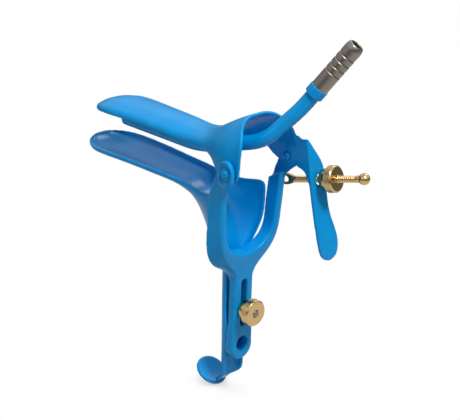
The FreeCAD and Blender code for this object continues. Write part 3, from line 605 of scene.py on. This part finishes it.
def pivotRivet(name, side, nodeName):
    look = rivetLook
    long = look["outside"] - look["inside"]
    top = long + look["skirt"]
    profile = [(0.0, -look["tailHeight"])]
    for k in range(1, 9):
        a = math.pi / 2 * k / 8
        profile.append((look["tail"] * math.sin(a), -look["tailHeight"] * math.cos(a)))
    profile += [(look["shank"], 0.02), (look["shank"], long), (look["head"], long)]
    profile += [(look["head"] - inwards, long + look["skirt"] * share) for inwards, share in look["rim"]]
    profile.append((look["domeFoot"], top))
    for k in range(13):
        a = math.pi / 2 * k / 12
        profile.append((look["dome"] * math.cos(a), top + (look["headHeight"] - look["skirt"]) * math.sin(a)))
    work = bmesh.new()
    turnedMesh(work, profile, spot(look["inside"] * side, 0, 0), Vector((side, 0, 0)), 48)
    meshPiece(name, work, bodyOf[nodeName], [nodeName], coat, 50)


pivotRivet("pivotRivetLeft", -1, "pivot_rivet_left")
pivotRivet("pivotRivetRight", 1, "pivot_rivet_right")
knurledNut("stemNut", spot(*stemNutSeat), nutAxis, "stem_nut", ["stem_nut"])
knurledNut("leverNut", rodSpot(rodLook["nutSeat"]), rodAxis, "lever_nut", ["lever_nut"])
screwRod()
rodKnob()
stemStud()
hoseNipple()
tubeCollar()
print("turned pieces done")

# bounce is the floor's own colour for the light it sends up; the shadow colour and open give a painted shadow
# on the floor's glow where the object stands close, within contact; near and far bound a painted pool of light
# in reflections; near, far and size are in metres, and so is contact
floorLook = {
    "size": 12.0, "bounce": (0.42, 0.42, 0.42, 1), "rough": 0.9, "shine": 0.1,
    "under": (0.45, 0.46, 0.48, 1), "open": 0.8, "contact": 0.03, "near": 0.35, "far": 1.1, "room": 0.16,
}


def studioFloor(look):
    mesh = bpy.data.meshes.new("studioFloor")
    half = look["size"] / 2
    mesh.from_pydata([(-half, -half, 0), (half, -half, 0), (half, half, 0), (-half, half, 0)], [],
                     [(0, 1, 2, 3)])
    floor = placed("studioFloor", mesh)
    mat, nodes, links = newMaterial("white sweep")
    shader = nodes["Principled BSDF"]
    shader.inputs["Base Color"].default_value = look["bounce"]
    shader.inputs["Roughness"].default_value = look["rough"]
    shader.inputs["Specular IOR Level"].default_value = look["shine"]
    # the camera and reflections see it as a white glow, with a painted shadow where the object stands close
    rays = node(nodes, "ShaderNodeLightPath")
    either = node(nodes, "ShaderNodeMath", operation="MAXIMUM")
    links.new(rays.outputs["Is Camera Ray"], either.inputs[0])
    links.new(rays.outputs["Is Glossy Ray"], either.inputs[1])
    near = node(nodes, "ShaderNodeAmbientOcclusion", Distance=look["contact"])
    near.samples = 8
    # painted shadow: the floor's glow takes the shadow colour where the object stands close
    shade = ramp(nodes, links, near.outputs["AO"], [(0.0, look["under"]), (look["open"], (1, 1, 1, 1))])
    # a painted pool of light: reflections see the floor's glow at full strength near the object, fading to room
    # strength further away
    place = node(nodes, "ShaderNodeTexCoord")
    away = node(nodes, "ShaderNodeVectorMath", operation="LENGTH")
    links.new(place.outputs["Object"], away.inputs[0])
    edge = node(nodes, "ShaderNodeMapRange")
    edge.inputs["From Min"].default_value, edge.inputs["From Max"].default_value = look["near"], look["far"]
    edge.inputs["To Min"].default_value, edge.inputs["To Max"].default_value = 1.0, look["room"]
    links.new(away.outputs["Value"], edge.inputs["Value"])
    strength = node(nodes, "ShaderNodeMath", operation="MAXIMUM")
    links.new(edge.outputs["Result"], strength.inputs[0])
    links.new(rays.outputs["Is Camera Ray"], strength.inputs[1])
    glow = node(nodes, "ShaderNodeEmission")
    links.new(shade.outputs["Color"], glow.inputs["Color"])
    links.new(strength.outputs["Value"], glow.inputs["Strength"])
    both = node(nodes, "ShaderNodeMixShader")
    links.new(either.outputs["Value"], both.inputs["Fac"])
    links.new(shader.outputs["BSDF"], both.inputs[1])
    links.new(glow.outputs["Emission"], both.inputs[2])
    links.new(both.outputs["Shader"], nodes["Material Output"].inputs["Surface"])
    mesh.materials.append(mat)


studioFloor(floorLook)

# fill lights the object, and room is the dim band that reflections see between the white table and the
# white sky; low, roomLow, roomHigh and sky are upward parts of a direction, from -1 to 1
worldLook = {"fill": 0.34, "room": 0.16, "low": -0.3, "roomLow": -0.15, "roomHigh": 0.1, "sky": 0.42}


def studioWorld(look):
    world = bpy.data.worlds.new("studio")
    bpy.context.scene.world = world
    world.use_nodes = True
    nodes, links = world.node_tree.nodes, world.node_tree.links
    back = nodes["Background"]
    rays = node(nodes, "ShaderNodeLightPath")
    mirror = node(nodes, "ShaderNodeMath", operation="MAXIMUM")
    links.new(rays.outputs["Is Glossy Ray"], mirror.inputs[0])
    links.new(rays.outputs["Is Transmission Ray"], mirror.inputs[1])
    place = node(nodes, "ShaderNodeTexCoord")
    parts = node(nodes, "ShaderNodeSeparateXYZ")
    links.new(place.outputs["Generated"], parts.inputs["Vector"])
    height = node(nodes, "ShaderNodeMapRange")
    height.inputs["From Min"].default_value = -1.0
    links.new(parts.outputs["Z"], height.inputs["Value"])
    white, dim = (1, 1, 1, 1), (look["room"], look["room"], look["room"], 1)
    stops = [((look[key] + 1) / 2, colour) for key, colour in
             (("low", white), ("roomLow", dim), ("roomHigh", dim), ("sky", white))]
    room = ramp(nodes, links, height.outputs["Result"], stops)
    fill = node(nodes, "ShaderNodeMix", data_type="RGBA")
    fill.inputs["A"].default_value = (look["fill"], look["fill"], look["fill"], 1)
    links.new(room.outputs["Color"], fill.inputs["B"])
    links.new(mirror.outputs["Value"], fill.inputs["Factor"])
    shown = node(nodes, "ShaderNodeMix", data_type="RGBA")
    shown.inputs["B"].default_value = white
    links.new(fill.outputs["Result"], shown.inputs["A"])
    links.new(rays.outputs["Is Camera Ray"], shown.inputs["Factor"])
    links.new(shown.outputs["Result"], back.inputs["Color"])


studioWorld(worldLook)

# azimuth and height in degrees from the object's middle, distance and size in metres, watts
lampLook = {
    "key": {"azimuth": -12, "height": 57, "away": 1.1, "size": 0.26, "watts": 8.4},
    "rim": {"azimuth": 100, "height": 45, "away": 1.2, "size": 0.3, "watts": 3.0},
    "side": {"azimuth": -100, "height": 30, "away": 1.2, "size": 0.2, "watts": 0.4},
}
middle = (cadLow + cadHigh) / 2


def direction(azimuth, height):
    a, e = math.radians(azimuth), math.radians(height)
    return Vector((math.sin(a) * math.cos(e), -math.cos(a) * math.cos(e), math.sin(e)))


def studioLamp(name, look):
    data = bpy.data.lights.new(name, "AREA")
    data.size = look["size"]
    data.energy = look["watts"]
    lamp = placed(name, data)
    away = direction(look["azimuth"], look["height"])
    lamp.location = middle + away * look["away"]
    lamp.rotation_euler = away.to_track_quat("Z", "Y").to_euler()


for name, look in lampLook.items():
    studioLamp(name + "Lamp", look)

# degrees, metres from the pivot, then pixels of the picture; sensor in millimetres
cameraLook = {
    "azimuth": -47.0, "height": 18.9, "roll": 2.36, "away": 1.0,
    "focal": 1690.0, "picture": (460.0, 420.0), "pivotAt": (259.2, 164.1), "sensor": 36.0,
}


def studioCamera(look):
    # looks from the picture's viewing angle, turned so that the pivot falls on its pixel
    away = direction(look["azimuth"], look["height"])
    a = math.radians(look["azimuth"])
    right = Vector((math.cos(a), math.sin(a), 0))
    up = away.cross(right)
    c, s = math.cos(math.radians(look["roll"])), math.sin(math.radians(look["roll"]))
    turned = Matrix((right * c + up * s, up * c - right * s, away)).transposed()
    wide, tall = look["picture"]
    seen = Vector((look["pivotAt"][0] - wide / 2, tall / 2 - look["pivotAt"][1], -look["focal"]))
    aim = seen.normalized().rotation_difference(Vector((0, 0, -1)))
    turn = turned @ aim.to_matrix()
    data = bpy.data.cameras.new("studioCamera")
    data.sensor_width = look["sensor"]
    data.lens = look["focal"] * look["sensor"] / wide
    camera = placed("studioCamera", data)
    camera.matrix_world = Matrix.Translation(pivot + away * look["away"]) @ turn.to_4x4()
    bpy.context.scene.camera = camera


studioCamera(cameraLook)
bpy.context.scene.view_settings.view_transform = "Standard"
print("studio set")
